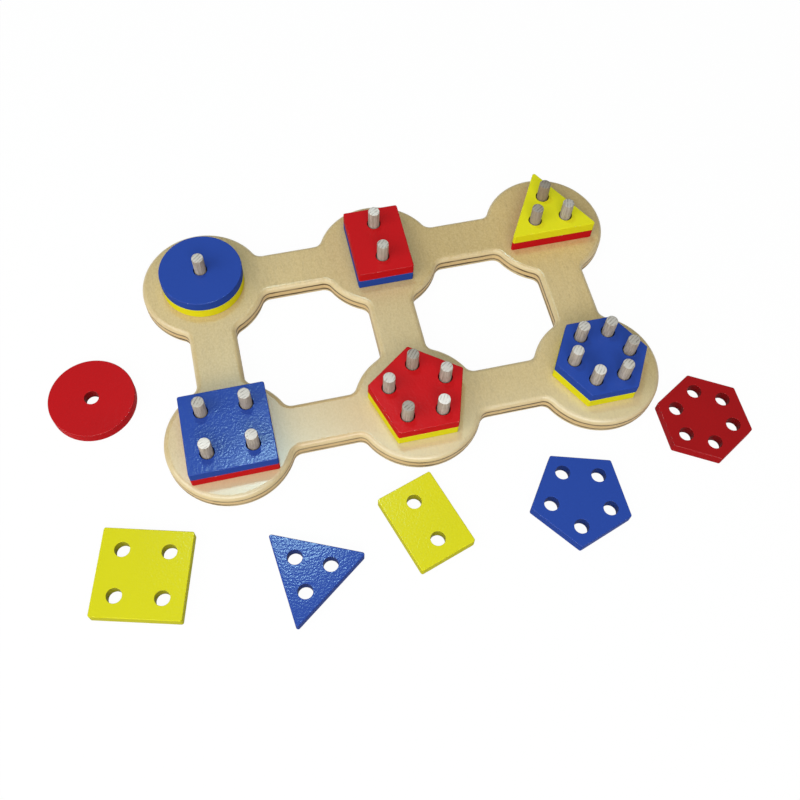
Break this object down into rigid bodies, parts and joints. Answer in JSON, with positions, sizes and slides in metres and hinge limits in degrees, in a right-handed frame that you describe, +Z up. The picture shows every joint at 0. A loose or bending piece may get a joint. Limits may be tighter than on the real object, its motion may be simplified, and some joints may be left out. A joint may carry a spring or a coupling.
{
  "type": "peg puzzle",
  "caption": "Wooden peg puzzle: plywood board of round stations joined by bars, upright dowel pegs, and painted geometric plates that stack on the pegs.",
  "frame": {"origin": "centre of the board's underside", "axes": "+X along the board's length, towards the triangle and hexagon stations; +Y to the back row; +Z up along the pegs"},
  "size_m": [0.398, 0.2581, 0.038],
  "materials": {
    "plywood": "clear satin lacquer over plywood",
    "dowel": "bare dowel with sawn ends",
    "red_paint": "gloss paint on wood",
    "yellow_paint": "gloss paint on wood",
    "blue_paint": "gloss paint on wood"
  },
  "bodies": {
    "board": {"board": "plywood", "circle_peg": "dowel", "rectangle_peg_1": "dowel", "rectangle_peg_2": "dowel", "triangle_peg_1": "dowel", "triangle_peg_2": "dowel", "triangle_peg_3": "dowel", "square_peg_1": "dowel", "square_peg_2": "dowel", "square_peg_3": "dowel", "square_peg_4": "dowel", "pentagon_peg_1": "dowel", "pentagon_peg_2": "dowel", "pentagon_peg_3": "dowel", "pentagon_peg_4": "dowel", "pentagon_peg_5": "dowel", "hexagon_peg_1": "dowel", "hexagon_peg_2": "dowel", "hexagon_peg_3": "dowel", "hexagon_peg_4": "dowel", "hexagon_peg_5": "dowel", "hexagon_peg_6": "dowel"},
    "circle_lower": {"circle_plate_lower": "yellow_paint"},
    "circle_upper": {"circle_plate_upper": "blue_paint"},
    "circle_loose": {"circle_plate_loose": "red_paint"},
    "rectangle_lower": {"rectangle_plate_lower": "blue_paint"},
    "rectangle_upper": {"rectangle_plate_upper": "red_paint"},
    "rectangle_loose": {"rectangle_plate_loose": "yellow_paint"},
    "triangle_lower": {"triangle_plate_lower": "red_paint"},
    "triangle_upper": {"triangle_plate_upper": "yellow_paint"},
    "triangle_loose": {"triangle_plate_loose": "blue_paint"},
    "square_lower": {"square_plate_lower": "red_paint"},
    "square_upper": {"square_plate_upper": "blue_paint"},
    "square_loose": {"square_plate_loose": "yellow_paint"},
    "pentagon_lower": {"pentagon_plate_lower": "yellow_paint"},
    "pentagon_upper": {"pentagon_plate_upper": "red_paint"},
    "pentagon_loose": {"pentagon_plate_loose": "blue_paint"},
    "hexagon_lower": {"hexagon_plate_lower": "yellow_paint"},
    "hexagon_upper": {"hexagon_plate_upper": "blue_paint"},
    "hexagon_loose": {"hexagon_plate_loose": "red_paint"}
  },
  "joints": [
    {"name": "circle_lower_lift", "type": "slide", "parent": "board", "child": "circle_lower", "axis": [0, 0, 1], "range_m": [0, 0.03]},
    {"name": "circle_upper_lift", "type": "slide", "parent": "circle_lower", "child": "circle_upper", "axis": [0, 0, 1], "range_m": [0, 0.023]},
    {"name": "circle_loose_lift", "type": "slide", "parent": "board", "child": "circle_loose", "axis": [0, 0, 1], "range_m": [0, 0.045]},
    {"name": "rectangle_lower_lift", "type": "slide", "parent": "board", "child": "rectangle_lower", "axis": [0, 0, 1], "range_m": [0, 0.03]},
    {"name": "rectangle_upper_lift", "type": "slide", "parent": "rectangle_lower", "child": "rectangle_upper", "axis": [0, 0, 1], "range_m": [0, 0.023]},
    {"name": "rectangle_loose_lift", "type": "slide", "parent": "board", "child": "rectangle_loose", "axis": [0, 0, 1], "range_m": [0, 0.045]},
    {"name": "triangle_lower_lift", "type": "slide", "parent": "board", "child": "triangle_lower", "axis": [0, 0, 1], "range_m": [0, 0.03]},
    {"name": "triangle_upper_lift", "type": "slide", "parent": "triangle_lower", "child": "triangle_upper", "axis": [0, 0, 1], "range_m": [0, 0.023]},
    {"name": "triangle_loose_lift", "type": "slide", "parent": "board", "child": "triangle_loose", "axis": [0, 0, 1], "range_m": [0, 0.045]},
    {"name": "square_lower_lift", "type": "slide", "parent": "board", "child": "square_lower", "axis": [0, 0, 1], "range_m": [0, 0.03]},
    {"name": "square_upper_lift", "type": "slide", "parent": "square_lower", "child": "square_upper", "axis": [0, 0, 1], "range_m": [0, 0.023]},
    {"name": "square_loose_lift", "type": "slide", "parent": "board", "child": "square_loose", "axis": [0, 0, 1], "range_m": [0, 0.045]},
    {"name": "pentagon_lower_lift", "type": "slide", "parent": "board", "child": "pentagon_lower", "axis": [0, 0, 1], "range_m": [0, 0.03]},
    {"name": "pentagon_upper_lift", "type": "slide", "parent": "pentagon_lower", "child": "pentagon_upper", "axis": [0, 0, 1], "range_m": [0, 0.023]},
    {"name": "pentagon_loose_lift", "type": "slide", "parent": "board", "child": "pentagon_loose", "axis": [0, 0, 1], "range_m": [0, 0.045]},
    {"name": "hexagon_lower_lift", "type": "slide", "parent": "board", "child": "hexagon_lower", "axis": [0, 0, 1], "range_m": [0, 0.03]},
    {"name": "hexagon_upper_lift", "type": "slide", "parent": "hexagon_lower", "child": "hexagon_upper", "axis": [0, 0, 1], "range_m": [0, 0.023]},
    {"name": "hexagon_loose_lift", "type": "slide", "parent": "board", "child": "hexagon_loose", "axis": [0, 0, 1], "range_m": [0, 0.045]}
  ]
}
